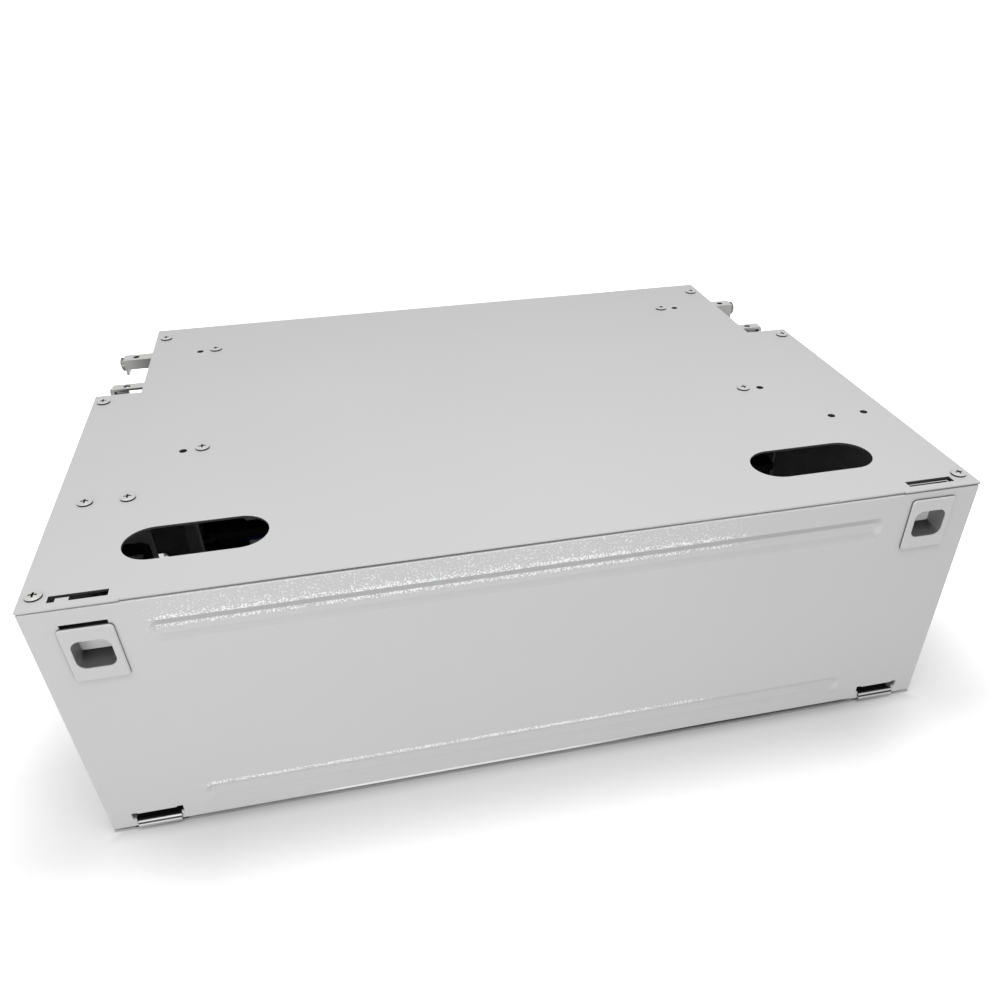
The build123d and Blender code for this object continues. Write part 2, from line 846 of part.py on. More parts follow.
# Clear lid that lies on the hubs and the adapter wall
with BuildPart() as tray_lid:
    lid_front = adapter_wall_front
    lid_rear = tray_rear - tray_wall - slide_clearance
    lid_half = tray_half_width - tray_wall - slide_clearance
    with BuildSketch(Plane.XY.offset(hub_height)):
        with Locations((0, (lid_front + lid_rear) / 2)):
            sheet_shape = Rectangle(2 * lid_half, lid_rear - lid_front)
        fillet(sheet_shape.vertices().group_by(Axis.Y)[-1], tray_corner_radius - tray_wall)
        with Locations((0, lid_front)):
            SlotOverall(finger_slot_length, finger_slot_width, mode=Mode.SUBTRACT)
    extrude(amount=lid_thickness)

for number in range(tray_count):
    level = tray_first_z + number * tray_pitch
    for piece, word in (
        (tray_base, "tray"), (adapter_set, "adapters"),
        (splice_comb, "splice_comb"), (tray_lid, "tray_lid"),
    ):
        with BuildPart() as placed:
            with Locations((0, 0, level)):
                add(piece.part)
        save(placed, word + "_" + str(number + 1))

# Drop-down door: pressed face, returns, latch windows and hinge slots
with BuildPart() as front_door:
    door_height = door_top - door_bottom
    with BuildSketch(facing(front)):
        with Locations((0, door_bottom + door_height / 2)):
            Rectangle(panel_width, door_height)
        with Locations(
            (-latch_x, window_top - latch_window_height / 2),
            (latch_x, window_top - latch_window_height / 2),
        ):
            Rectangle(latch_window_width, latch_window_height, mode=Mode.SUBTRACT)
        hinge_slot_mid = door_bottom + hinge_strip_height + hinge_slot_height / 2
        with Locations((-hinge_x, hinge_slot_mid), (hinge_x, hinge_slot_mid)):
            Rectangle(hinge_slot_width, hinge_slot_height, mode=Mode.SUBTRACT)
        hinge_ear_mid = hinge_slot_mid + hinge_slot_height / 2 + hinge_ear_rise - hinge_ear_height / 2
        with Locations((-hinge_x, hinge_ear_mid), (hinge_x, hinge_ear_mid)):
            with GridLocations(hinge_slot_width, 1, 2, 1):
                Rectangle(hinge_ear_width, hinge_ear_height, mode=Mode.SUBTRACT)
    extrude(amount=sheet)
    for rib_z in (door_top - rib_upper_drop, door_bottom + rib_lower_rise):
        for step, change in ((0, Mode.ADD), (-sheet, Mode.SUBTRACT)):
            with BuildSketch(facing(front + step)):
                with Locations((0, rib_z)):
                    SlotOverall(rib_length, rib_height)
            with BuildSketch(facing(front + step + rib_depth)):
                with Locations((0, rib_z)):
                    SlotOverall(rib_length - 2 * rib_slope, rib_height - 2 * rib_slope)
            loft(mode=change)
    with BuildSketch(Plane.XY.offset(door_top - sheet)):
        with Locations((0, front + door_return / 2)):
            Rectangle(2 * door_return_half, door_return)
    extrude(amount=sheet)
    return_bottom = door_bottom + 3 * sheet
    with BuildSketch(facing(front)):
        for side in (-1, 1):
            with Locations((side * (half_panel - sheet / 2), (door_top + return_bottom) / 2)):
                Rectangle(sheet, door_top - return_bottom)
    extrude(amount=-door_return)
    face_edges = front_door.edges().filter_by_position(Axis.Y, door_face, door_face)
    fillet(face_edges.filter_by(Axis.Z).group_by(Axis.X)[0], fold_radius)
    face_edges = front_door.edges().filter_by_position(Axis.Y, door_face, door_face)
    fillet(face_edges.filter_by(Axis.Z).group_by(Axis.X)[-1], fold_radius)
    face_edges = front_door.edges().filter_by_position(Axis.Y, door_face, door_face)
    fillet(face_edges.filter_by(Axis.X).group_by(Axis.Z)[-1], fold_radius)
save(front_door, "front_door")

# Latch grip: bevelled face plate with a finger pocket in a tub that slides in the door window
grip_back = door_face - slide_clearance / 2
grip_face = grip_back - latch_proud
tub_mid_z = (tub_top + tub_bottom) / 2


def latch_grip(side, lift):
    pocket_z = tub_mid_z + lift
    with BuildPart() as grip:
        with BuildSketch(facing(grip_back)):
            with Locations((side * latch_x, latch_mid_z + lift)):
                RectangleRounded(latch_width, latch_height, plate_radius)
        extrude(amount=latch_proud)
        chamfer(grip.faces().sort_by(Axis.Y)[0].edges(), latch_proud / 2)
        with BuildSketch(facing(grip_back)):
            with Locations((side * latch_x, pocket_z)):
                Rectangle(tub_width, tub_height)
        extrude(amount=latch_proud - pocket_depth - tub_wall)
        with BuildSketch(facing(grip_face)):
            with Locations((side * latch_x, pocket_z)):
                RectangleRounded(pocket_width, pocket_height, pocket_radius)
        with BuildSketch(facing(grip_face + pocket_depth)):
            with Locations((side * latch_x, pocket_z + pocket_floor_rise / 2)):
                RectangleRounded(
                    pocket_width, pocket_height - pocket_floor_rise, pocket_back_radius
                )
        loft(mode=Mode.SUBTRACT)
    return grip


# Latch bolt: a frame round the tub, behind the door, and the cored tongue above it,
# grooved in front to pass the guide tab of the cover
def latch_bolt(side, lift):
    frame_front = front + slide_clearance
    tongue_back = front + bolt_slot_setback + bolt_thickness / 2
    tongue_front = front + bolt_slot_setback - bolt_thickness / 2
    frame_top = tub_top + bolt_frame_wall + lift
    groove_depth = slot_front + guide_tab_reach + guide_tab_clearance - tongue_front
    with BuildPart() as bolt:
        with BuildSketch(facing(frame_front)):
            with Locations((side * latch_x, tub_mid_z + lift)):
                Rectangle(tub_width + 2 * bolt_frame_wall, tub_height + 2 * bolt_frame_wall)
                Rectangle(tub_width, tub_height, mode=Mode.SUBTRACT)
        extrude(amount=frame_front - tongue_back)
        with BuildSketch(Plane.XY.offset(frame_top)):
            with Locations((side * latch_x, front + bolt_slot_setback)):
                Rectangle(bolt_width, bolt_thickness)
        extrude(amount=bolt_tip + lift - frame_top)
        core_width = (bolt_thickness - 3 * bolt_rib) / 2
        with BuildSketch(Plane.XY.offset(bolt_tip + lift)):
            with Locations((side * latch_x, front + bolt_slot_setback)):
                with GridLocations(1, core_width + bolt_rib, 1, 2):
                    Rectangle(bolt_width - 2 * bolt_rib, core_width)
        extrude(amount=-bolt_thickness, mode=Mode.SUBTRACT)
        with BuildSketch(Plane.XY.offset(bolt_tip + lift)):
            with Locations((side * guide_tab_x, tongue_front)):
                Rectangle(guide_tab_width + 2 * guide_tab_clearance, 2 * groove_depth)
        extrude(amount=-latch_travel - sheet, mode=Mode.SUBTRACT)
    return bolt


# The left latch rests at the lower end of its travel, the right one is nearly raised
for side, word, lift in ((-1, "left", 0), (1, "right", raised_latch_lift)):
    save(latch_grip(side, lift), "latch_grip_" + word)
    save(latch_bolt(side, lift), "latch_bolt_" + word)
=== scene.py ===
import bpy
import bmesh
import json
import math
from mathutils import Matrix, Vector


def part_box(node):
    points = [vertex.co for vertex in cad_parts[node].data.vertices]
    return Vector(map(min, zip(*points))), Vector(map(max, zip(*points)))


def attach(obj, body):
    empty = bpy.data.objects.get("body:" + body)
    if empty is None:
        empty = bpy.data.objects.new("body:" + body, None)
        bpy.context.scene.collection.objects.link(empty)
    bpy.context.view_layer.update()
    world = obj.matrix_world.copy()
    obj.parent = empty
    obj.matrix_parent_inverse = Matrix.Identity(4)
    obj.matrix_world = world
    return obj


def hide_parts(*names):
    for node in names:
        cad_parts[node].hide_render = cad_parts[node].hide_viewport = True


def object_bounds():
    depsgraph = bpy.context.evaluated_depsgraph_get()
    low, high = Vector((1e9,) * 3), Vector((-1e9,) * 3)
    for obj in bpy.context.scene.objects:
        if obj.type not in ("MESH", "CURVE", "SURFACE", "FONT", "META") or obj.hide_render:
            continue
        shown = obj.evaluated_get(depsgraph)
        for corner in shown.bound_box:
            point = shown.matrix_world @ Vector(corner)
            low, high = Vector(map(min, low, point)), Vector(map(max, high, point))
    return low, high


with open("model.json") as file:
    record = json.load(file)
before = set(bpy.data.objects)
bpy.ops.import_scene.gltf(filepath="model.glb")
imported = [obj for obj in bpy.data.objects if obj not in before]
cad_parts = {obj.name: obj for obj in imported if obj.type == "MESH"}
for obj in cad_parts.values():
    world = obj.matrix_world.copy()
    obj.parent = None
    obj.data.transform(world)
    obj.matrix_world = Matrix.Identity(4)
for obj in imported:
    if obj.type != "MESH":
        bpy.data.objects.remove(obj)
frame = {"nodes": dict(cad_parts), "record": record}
cadBox = [list(corner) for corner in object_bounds()]
print("frame loaded:", len(frame["nodes"]), "nodes")


# sRGB hex to linear colour
def linear(hexColour):
    values = [int(hexColour[i:i + 2], 16) / 255 for i in (0, 2, 4)]
    return [v / 12.92 if v <= 0.04045 else ((v + 0.055) / 1.055) ** 2.4 for v in values] + [1.0]


# one node with its settings and what feeds its inputs
def addNode(tree, kind, settings=None, inputs=None):
    node = tree.nodes.new(kind)
    for name, value in (settings or {}).items():
        setattr(node, name, value)
    for name, value in (inputs or {}).items():
        if isinstance(value, bpy.types.NodeSocket):
            tree.links.new(value, node.inputs[name])
        else:
            node.inputs[name].default_value = value
    return node


def newMaterial(name):
    material = bpy.data.materials.new(name)
    material.use_nodes = True
    material.node_tree.nodes.clear()
    return material, material.node_tree


# camera, solved from the corners of the case in the photograph
camera = {
    "sensor": 36,
    "near": 0.01,
    "place": (-0.08559, -0.58084, 0.38935),
    "right": (0.97528, -0.22063, -0.01198),
    "down": (-0.14409, -0.59396, -0.79148),
    "forward": (0.16751, 0.77365, -0.61107),
    "lens": 31.466,
    "shift": (-0.0225, 0.1053),
}
cameraData = bpy.data.cameras.new("camera")
cameraData.sensor_width = camera["sensor"]
cameraData.lens = camera["lens"]
cameraData.shift_x, cameraData.shift_y = camera["shift"]
cameraData.clip_start = camera["near"]
cameraObject = bpy.data.objects.new("camera", cameraData)
bpy.context.scene.collection.objects.link(cameraObject)
right, up = Vector(camera["right"]).normalized(), -Vector(camera["down"]).normalized()
back = -Vector(camera["forward"]).normalized()
turn = Matrix((right, up, back)).transposed()
cameraObject.matrix_world = Matrix.Translation(camera["place"]) @ turn.to_4x4()
bpy.context.scene.camera = cameraObject
bpy.context.scene.view_settings.view_transform = "Standard"

# studio: soft white world, a large lamp overhead, a low one at the front left
studio = {
    "worldStrength": 0.4,
    "topLamp": {"place": (0.0, -0.36, 1.0), "aim": (0, -0.14, 0.1), "size": 0.85, "power": 5.9},
    "frontLamp": {
        "place": (-0.36, -1.15, 0.11), "aim": (-0.05, -0.2, 0.06), "size": 0.6, "power": 4.0,
    },
}


# 1 for what the camera sees, directly, in metal or through glass
def seenPlainly(tree):
    rays = addNode(tree, "ShaderNodeLightPath")
    shiny = addNode(tree, "ShaderNodeMath", {"operation": "MAXIMUM"}, {
        0: rays.outputs["Is Glossy Ray"], 1: rays.outputs["Is Transmission Ray"]})
    seen = addNode(tree, "ShaderNodeMath", {"operation": "MAXIMUM"}, {
        0: rays.outputs["Is Camera Ray"], 1: shiny.outputs[0]})
    return seen.outputs[0]


# soft light for the scene, plain white for the camera
def makeWorld():
    world = bpy.data.worlds.new("studio")
    bpy.context.scene.world = world
    world.use_nodes = True
    tree = world.node_tree
    tree.nodes.clear()
    soft = addNode(tree, "ShaderNodeBackground", inputs={
        "Color": (1, 1, 1, 1), "Strength": studio["worldStrength"]})
    white = addNode(tree, "ShaderNodeBackground", inputs={"Color": (1, 1, 1, 1), "Strength": 1.0})
    both = addNode(tree, "ShaderNodeMixShader", inputs={
        0: seenPlainly(tree), 1: soft.outputs[0], 2: white.outputs[0]})
    addNode(tree, "ShaderNodeOutputWorld", inputs={"Surface": both.outputs[0]})


def makeLamp(name, lamp):
    data = bpy.data.lights.new(name, "AREA")
    data.shape = "SQUARE"
    data.size = lamp["size"]
    data.energy = lamp["power"]
    lampObject = bpy.data.objects.new(name, data)
    bpy.context.scene.collection.objects.link(lampObject)
    lampObject.location = lamp["place"]
    towards = Vector(lamp["aim"]) - Vector(lamp["place"])
    lampObject.rotation_euler = towards.to_track_quat("-Z", "Y").to_euler()


# how far each coordinate of a point lies beyond a box, with negative values inside it
def beyondBox(tree, point, middle, half):
    shifted = addNode(tree, "ShaderNodeVectorMath", {"operation": "SUBTRACT"}, {
        0: point, 1: middle})
    mirrored = addNode(tree, "ShaderNodeVectorMath", {"operation": "ABSOLUTE"}, {
        0: shifted.outputs["Vector"]})
    past = addNode(tree, "ShaderNodeVectorMath", {"operation": "SUBTRACT"}, {
        0: mirrored.outputs["Vector"], 1: half})
    return past.outputs["Vector"]


# white paper that keeps the soft shadow near the case, with a painted shadow under and just around the
# case's foot, and plain white further out
paper = {
    "colour": "dedede",
    "shadeColour": "101010",
    "size": 12,
    "drop": 0.0002,
    "glow": 0.8,
    "glowReach": 0.115,
    "reachStretch": (0.62, 1.0, 1.0),
    "sideGlow": 0.23,
    "sideFrom": -0.06,
    "sideTo": 0.012,
    "rearGlow": 0.37,
    "rearFrom": -0.19,
    "rearTo": -0.11,
    "shadeMiddle": (0.0, -0.117, 0.0),
    "shadeHalf": (0.226, 0.108, 1.0),
    "shadeFrom": -0.006,
    "shadeTo": 0.02,
}


# light that the camera sees on the paper: none at the case's foot, more to the sides and the rear
def paperGlow(tree, point):
    low, high = Vector(cadBox[0]), Vector(cadBox[1])
    beyond = beyondBox(tree, point, (low + high) / 2, (high - low) / 2)
    outside = addNode(tree, "ShaderNodeVectorMath", {"operation": "MAXIMUM"}, {0: beyond})
    stretched = addNode(tree, "ShaderNodeVectorMath", {"operation": "MULTIPLY"}, {
        0: outside.outputs["Vector"], 1: paper["reachStretch"]})
    away = addNode(tree, "ShaderNodeVectorMath", {"operation": "LENGTH"}, {
        0: stretched.outputs["Vector"]})
    far = addNode(tree, "ShaderNodeMapRange", {"interpolation_type": "SMOOTHSTEP"}, {
        "Value": away.outputs["Value"], "From Max": paper["glowReach"], "To Max": paper["glow"]})
    apart = addNode(tree, "ShaderNodeSeparateXYZ", inputs={"Vector": beyond})
    beside = addNode(tree, "ShaderNodeMapRange", {"interpolation_type": "SMOOTHSTEP"}, {
        "Value": apart.outputs["X"], "From Min": paper["sideFrom"], "From Max": paper["sideTo"]})
    axes = addNode(tree, "ShaderNodeSeparateXYZ", inputs={"Vector": point})
    rearward = addNode(tree, "ShaderNodeMapRange", {"interpolation_type": "SMOOTHSTEP"}, {
        "Value": axes.outputs["Y"], "From Min": paper["rearFrom"], "From Max": paper["rearTo"],
        "To Min": paper["sideGlow"], "To Max": paper["rearGlow"]})
    sideways = addNode(tree, "ShaderNodeMath", {"operation": "MULTIPLY"}, {
        0: beside.outputs["Result"], 1: rearward.outputs["Result"]})
    lifted = addNode(tree, "ShaderNodeMath", inputs={
        0: far.outputs["Result"], 1: sideways.outputs[0]})
    seen = addNode(tree, "ShaderNodeMath", {"operation": "MULTIPLY"}, {
        0: lifted.outputs[0], 1: seenPlainly(tree)})
    return seen.outputs[0]


def makeFloor():
    material, tree = newMaterial("paper_backdrop")
    point = addNode(tree, "ShaderNodeTexCoord").outputs["Object"]
    glow = addNode(tree, "ShaderNodeEmission", inputs={
        "Color": (1, 1, 1, 1), "Strength": paperGlow(tree, point)})
    # painted shadow: the paper's colour darkens to near black under the case and fades out a little
    # beyond its foot
    past = beyondBox(tree, point, paper["shadeMiddle"], paper["shadeHalf"])
    sides = addNode(tree, "ShaderNodeSeparateXYZ", inputs={"Vector": past})
    nearest = addNode(tree, "ShaderNodeMath", {"operation": "MAXIMUM"}, {
        0: sides.outputs["X"], 1: sides.outputs["Y"]})
    lit = addNode(tree, "ShaderNodeMapRange", {"interpolation_type": "SMOOTHSTEP"}, {
        "Value": nearest.outputs[0], "From Min": paper["shadeFrom"], "From Max": paper["shadeTo"]})
    tone = addNode(tree, "ShaderNodeMix", {"data_type": "RGBA"}, {
        0: lit.outputs["Result"], 6: linear(paper["shadeColour"]), 7: linear(paper["colour"])})
    matt = addNode(tree, "ShaderNodeBsdfDiffuse", inputs={"Color": tone.outputs[2]})
    total = addNode(tree, "ShaderNodeAddShader", inputs={0: matt.outputs[0], 1: glow.outputs[0]})
    addNode(tree, "ShaderNodeOutputMaterial", inputs={"Surface": total.outputs[0]})
    bpy.ops.mesh.primitive_plane_add(size=paper["size"], location=(0, 0, -paper["drop"]))
    floor = bpy.context.object
    floor.name = "floor"
    floor.data.materials.append(material)


makeWorld()
makeLamp("top_lamp", studio["topLamp"])
makeLamp("front_lamp", studio["frontLamp"])
makeFloor()
print("studio ready")


# grey value that follows a short list of (millimetre, value) pairs along one coordinate
def profileAlong(tree, coordinate, pairs):
    low, high = pairs[0][0] / 1000, pairs[-1][0] / 1000
    along = addNode(tree, "ShaderNodeMapRange", inputs={
        "Value": coordinate, "From Min": low, "From Max": high})
    ramp = addNode(tree, "ShaderNodeValToRGB", inputs={"Fac": along.outputs["Result"]})
    stops = ramp.color_ramp.elements
    stops[0].color = (pairs[0][1],) * 3 + (1,)
    stops[1].color = (pairs[-1][1],) * 3 + (1,)
    for millimetre, value in pairs[1:-1]:
        stop = stops.new((millimetre / 1000 - low) / (high - low))
        stop.color = (value,) * 3 + (1,)
    return ramp.outputs["Color"]


# 1 inside two profiles at once, such as a band of heights on a stretch of the width
def patchAcross(tree, point, acrossPairs, upPairs):
    axes = addNode(tree, "ShaderNodeSeparateXYZ", inputs={"Vector": point})
    across = profileAlong(tree, axes.outputs["X"], acrossPairs)
    up = profileAlong(tree, axes.outputs["Z"], upPairs)
    patch = addNode(tree, "ShaderNodeMath", {"operation": "MULTIPLY"}, {0: up, 1: across})
    return patch.outputs[0]


# bump of a fine grain; size and depth in mm
def fineGrain(tree, point, grain):
    noise = addNode(tree, "ShaderNodeTexNoise", inputs={
        "Vector": point, "Scale": 1000 / grain["mm"], "Detail": grain["detail"]})
    bump = addNode(tree, "ShaderNodeBump", inputs={
        "Height": noise.outputs["Fac"], "Distance": grain["depthMm"] / 1000,
        "Strength": grain["strength"]})
    return bump.outputs["Normal"]


# roughness that drifts in soft patches; size in mm
def patchyRoughness(tree, point, patch):
    noise = addNode(tree, "ShaderNodeTexNoise", inputs={
        "Vector": point, "Scale": 1000 / patch["mm"], "Detail": patch["detail"]})
    rough = addNode(tree, "ShaderNodeMapRange", inputs={
        "Value": noise.outputs["Fac"], "To Min": patch["low"], "To Max": patch["high"]})
    return rough.outputs["Result"]


# polyester powder coat on folded steel: an even, half-matt light grey with a fine grain
coat = {
    "colour": "d0d0d1",
    "roughness": 0.5,
    "gloss": 0.25,
    "grain": {"mm": 0.9, "depthMm": 0.02, "detail": 2.0, "strength": 0.6},
    "driftMm": 111.1,
    "driftTone": 0.02,
    "edgeShade": "484848",
    "gapShadow": "0e0e0e",
}


# where a coat is painted, and its colour with a slight drift from place to place
def coatBase(tree):
    place = addNode(tree, "ShaderNodeTexCoord")
    drift = addNode(tree, "ShaderNodeTexNoise", inputs={
        "Vector": place.outputs["Object"], "Scale": 1000 / coat["driftMm"], "Detail": 1.0})
    tone = addNode(tree, "ShaderNodeMapRange", inputs={
        "Value": drift.outputs["Fac"], "To Min": 1.0 - coat["driftTone"],
        "To Max": 1.0 + coat["driftTone"]})
    colour = addNode(tree, "ShaderNodeHueSaturation", inputs={
        "Value": tone.outputs["Result"], "Color": linear(coat["colour"])})
    return place, colour.outputs["Color"]


# the coat's sheen and grain over a colour
def coatShader(tree, place, colour):
    shader = addNode(tree, "ShaderNodeBsdfPrincipled", inputs={
        "Base Color": colour, "Roughness": coat["roughness"], "Specular IOR Level": coat["gloss"],
        "Normal": fineGrain(tree, place.outputs["Object"], coat["grain"])})
    return shader.outputs[0]


def powderCoat():
    material, tree = newMaterial("powder_coated_steel")
    place, colour = coatBase(tree)
    addNode(tree, "ShaderNodeOutputMaterial", inputs={"Surface": coatShader(tree, place, colour)})
    return material


# the cover: painted shade on the upright cut edges of its slots and holes, and a painted shadow line on
# its front lip
cover = {
    "edgeFrom": 0.3,
    "edgeTo": 0.6,
    "lipFront": -0.2325,
    "lipAcross": [(-241, 0.0), (-200, 0.3), (-90, 0.9), (20, 0.7), (80, 0.4), (160, 0.3), (241, 0.9)],
    "lipUp": [(151.8, 1.0), (152.15, 1.0), (152.4, 0.0)],
}


def cutSheetCoat():
    material, tree = newMaterial("powder_coated_sheet_with_painted_edge_shade")
    place, colour = coatBase(tree)
    facing = addNode(tree, "ShaderNodeSeparateXYZ", inputs={"Vector": place.outputs["Normal"]})
    level = addNode(tree, "ShaderNodeMath", {"operation": "ABSOLUTE"}, {0: facing.outputs["Z"]})
    # painted shade on the cover's faces that stand upright
    cut = addNode(tree, "ShaderNodeMapRange", inputs={
        "Value": level.outputs[0], "From Min": cover["edgeFrom"], "From Max": cover["edgeTo"],
        "To Min": 1.0, "To Max": 0.0})
    axes = addNode(tree, "ShaderNodeSeparateXYZ", inputs={"Vector": place.outputs["Object"]})
    # painted shadow line on the lower part of the front lip, above the gap to the door
    lip = addNode(tree, "ShaderNodeMath", {"operation": "LESS_THAN"}, {
        0: axes.outputs["Y"], 1: cover["lipFront"]})
    lipShadow = patchAcross(tree, place.outputs["Object"], cover["lipAcross"], cover["lipUp"])
    kept = addNode(tree, "ShaderNodeMix", {"data_type": "FLOAT"}, {
        0: lip.outputs[0], 2: 1.0, 3: lipShadow})
    amount = addNode(tree, "ShaderNodeMath", {"operation": "MULTIPLY"}, {
        0: cut.outputs["Result"], 1: kept.outputs[0]})
    mixed = addNode(tree, "ShaderNodeMix", {"data_type": "RGBA"}, {
        0: amount.outputs[0], 6: colour, 7: linear(coat["edgeShade"])})
    addNode(tree, "ShaderNodeOutputMaterial", inputs={
        "Surface": coatShader(tree, place, mixed.outputs[2])})
    return material


# the door: painted glints of single grains above its upper rib and along the lower one, drawn coarser
# than the real ones so that they show; painted shade on the pressed slopes, a painted highlight on the
# hem and a painted shadow line along the foot. Places in mm
door = {
    "speckMm": 0.74,
    "speckUp": [
        (131.4, 0.0), (132.6, 0.45), (133.3, 0.95), (134.6, 1.0), (134.8, 0.0), (138.5, 0.0),
        (138.7, 1.0), (140.2, 1.0), (141.2, 0.48), (146.0, 0.4), (151.1, 0.32),
    ],
    "speckLow": [(23.1, 0.0), (23.5, 1.0), (26.0, 1.0), (26.6, 0.0)],
    "speckAcross": [(-194, 0.0), (-184, 0.7), (-90, 0.88), (30, 0.95), (95, 0.7), (122, 0.0)],
    "speckRare": 0.76,
    "speckDense": 0.46,
    "speckEdge": 0.02,
    "faintFrom": 0.02,
    "faintTo": 0.58,
    "slopeUp": [
        (126.2, 0.0), (126.6, 0.6), (129.3, 0.6), (129.7, 0.0), (134.6, 0.0), (135.0, 1.0),
        (138.3, 1.0), (138.7, 0.0),
    ],
    "slopeLow": [(12.4, 0.0), (12.8, 0.6), (15.5, 0.6), (15.9, 0.0)],
    "slopeAcross": [(-188, 0.0), (-184, 1.0), (184, 1.0), (188, 0.0)],
    "slopeShade": 0.2,
    "hemUp": [(2.0, 1.0), (3.8, 1.0), (4.2, 0.0)],
    "hemAcross": [(-135, 0.0), (-120, 0.9), (20, 0.8), (80, 0.3), (100, 0.0)],
    "footUp": [(2.2, 1.0), (3.2, 1.0), (3.5, 0.0)],
    "footAcross": [(20, 0.0), (70, 0.8), (100, 1.0), (195, 0.9), (203, 0.0)],
}


# a profile along the width times the higher of two profiles up the door
def bandsOnDoor(tree, point, acrossPairs, upperPairs, lowerPairs):
    axes = addNode(tree, "ShaderNodeSeparateXYZ", inputs={"Vector": point})
    upper = profileAlong(tree, axes.outputs["Z"], upperPairs)
    lower = profileAlong(tree, axes.outputs["Z"], lowerPairs)
    across = profileAlong(tree, axes.outputs["X"], acrossPairs)
    either = addNode(tree, "ShaderNodeMath", {"operation": "MAXIMUM"}, {0: upper, 1: lower})
    bands = addNode(tree, "ShaderNodeMath", {"operation": "MULTIPLY"}, {
        0: either.outputs[0], 1: across})
    return bands.outputs[0]


# painted glints of single grains, denser and brighter where the density is higher
def paintedGlints(tree, point, density):
    specks = addNode(tree, "ShaderNodeTexNoise", inputs={
        "Vector": point, "Scale": 1000 / door["speckMm"], "Detail": 0.0})
    limit = addNode(tree, "ShaderNodeMapRange", inputs={
        "Value": density, "To Min": door["speckRare"], "To Max": door["speckDense"]})
    over = addNode(tree, "ShaderNodeMath", {"operation": "SUBTRACT"}, {
        0: specks.outputs["Fac"], 1: limit.outputs["Result"]})
    amount = addNode(tree, "ShaderNodeMapRange", inputs={
        "Value": over.outputs[0], "From Min": 0.0, "From Max": door["speckEdge"]})
    bright = addNode(tree, "ShaderNodeMapRange", inputs={
        "Value": density, "From Min": door["faintFrom"], "From Max": door["faintTo"]})
    grains = addNode(tree, "ShaderNodeMath", {"operation": "MULTIPLY"}, {
        0: amount.outputs["Result"], 1: bright.outputs["Result"]})
    return grains.outputs[0]


def speckledCoat():
    material, tree = newMaterial("powder_coated_steel_with_painted_glints_and_shade")
    place, colour = coatBase(tree)
    point = place.outputs["Object"]
    density = bandsOnDoor(tree, point, door["speckAcross"], door["speckUp"], door["speckLow"])
    slope = bandsOnDoor(tree, point, door["slopeAcross"], door["slopeUp"], door["slopeLow"])
    # painted shade on the pressed slopes of the ribs
    shade = addNode(tree, "ShaderNodeMapRange", inputs={
        "Value": slope, "To Min": 1.0, "To Max": 1.0 - door["slopeShade"]})
    slopeShaded = addNode(tree, "ShaderNodeHueSaturation", inputs={
        "Value": shade.outputs["Result"], "Color": colour})
    # painted highlight along the hem at the door's bottom edge
    hem = patchAcross(tree, point, door["hemAcross"], door["hemUp"])
    bright = addNode(tree, "ShaderNodeMath", {"operation": "MAXIMUM"}, {
        0: paintedGlints(tree, point, density), 1: hem})
    mixed = addNode(tree, "ShaderNodeMix", {"data_type": "RGBA"}, {
        0: bright.outputs[0], 6: slopeShaded.outputs["Color"], 7: (1, 1, 1, 1)})
    # painted shadow line along the door's foot, above the gap to the base
    foot = patchAcross(tree, point, door["footAcross"], door["footUp"])
    footShadow = addNode(tree, "ShaderNodeMix", {"data_type": "RGBA"}, {
        0: foot, 6: mixed.outputs[2], 7: linear(coat["gapShadow"])})
    addNode(tree, "ShaderNodeOutputMaterial", inputs={
        "Surface": coatShader(tree, place, footShadow.outputs[2])})
    return material


# electroplated nickel on steel: bright and neutral with soft streaks, painted shade on upright faces
plate = {
    "top": "c0c0bf",
    "side": "8a8a89",
    "clampScrew": "767675",
    "sideFrom": 0.3,
    "topFrom": 0.7,
    "streaks": {"mm": 3.0, "detail": 3.0, "low": 0.26, "high": 0.36},
}


def brightPlate(name, topHex, shadedSideHex):
    material, tree = newMaterial(name)
    place = addNode(tree, "ShaderNodeTexCoord")
    facing = addNode(tree, "ShaderNodeSeparateXYZ", inputs={"Vector": place.outputs["Normal"]})
    # painted shade: upright faces take the darker side colour, upward faces the top colour
    upward = addNode(tree, "ShaderNodeMapRange", inputs={
        "Value": facing.outputs["Z"], "From Min": plate["sideFrom"], "From Max": plate["topFrom"]})
    tone = addNode(tree, "ShaderNodeMix", {"data_type": "RGBA"}, {
        0: upward.outputs["Result"], 6: linear(shadedSideHex), 7: linear(topHex)})
    shader = addNode(tree, "ShaderNodeBsdfPrincipled", inputs={
        "Base Color": tone.outputs[2], "Metallic": 1.0,
        "Roughness": patchyRoughness(tree, place.outputs["Object"], plate["streaks"])})
    addNode(tree, "ShaderNodeOutputMaterial", inputs={"Surface": shader.outputs[0]})
    return material


# the same plate on the cover's screw heads: bright crown, painted shade on the rim and in the cross
# recess
screwHead = {
    "crown": "c8c8c7",
    "paintedShade": "3a3a3a",
    "rimFrom": 0.8,
    "rimTo": 0.5,
    "seat": 0.153,
    "recess": 0.00075,
    "recessEdge": 0.0001,
    "metallic": 0.85,
    "streaks": {"mm": 3.0, "detail": 3.0, "low": 0.3, "high": 0.5},
}


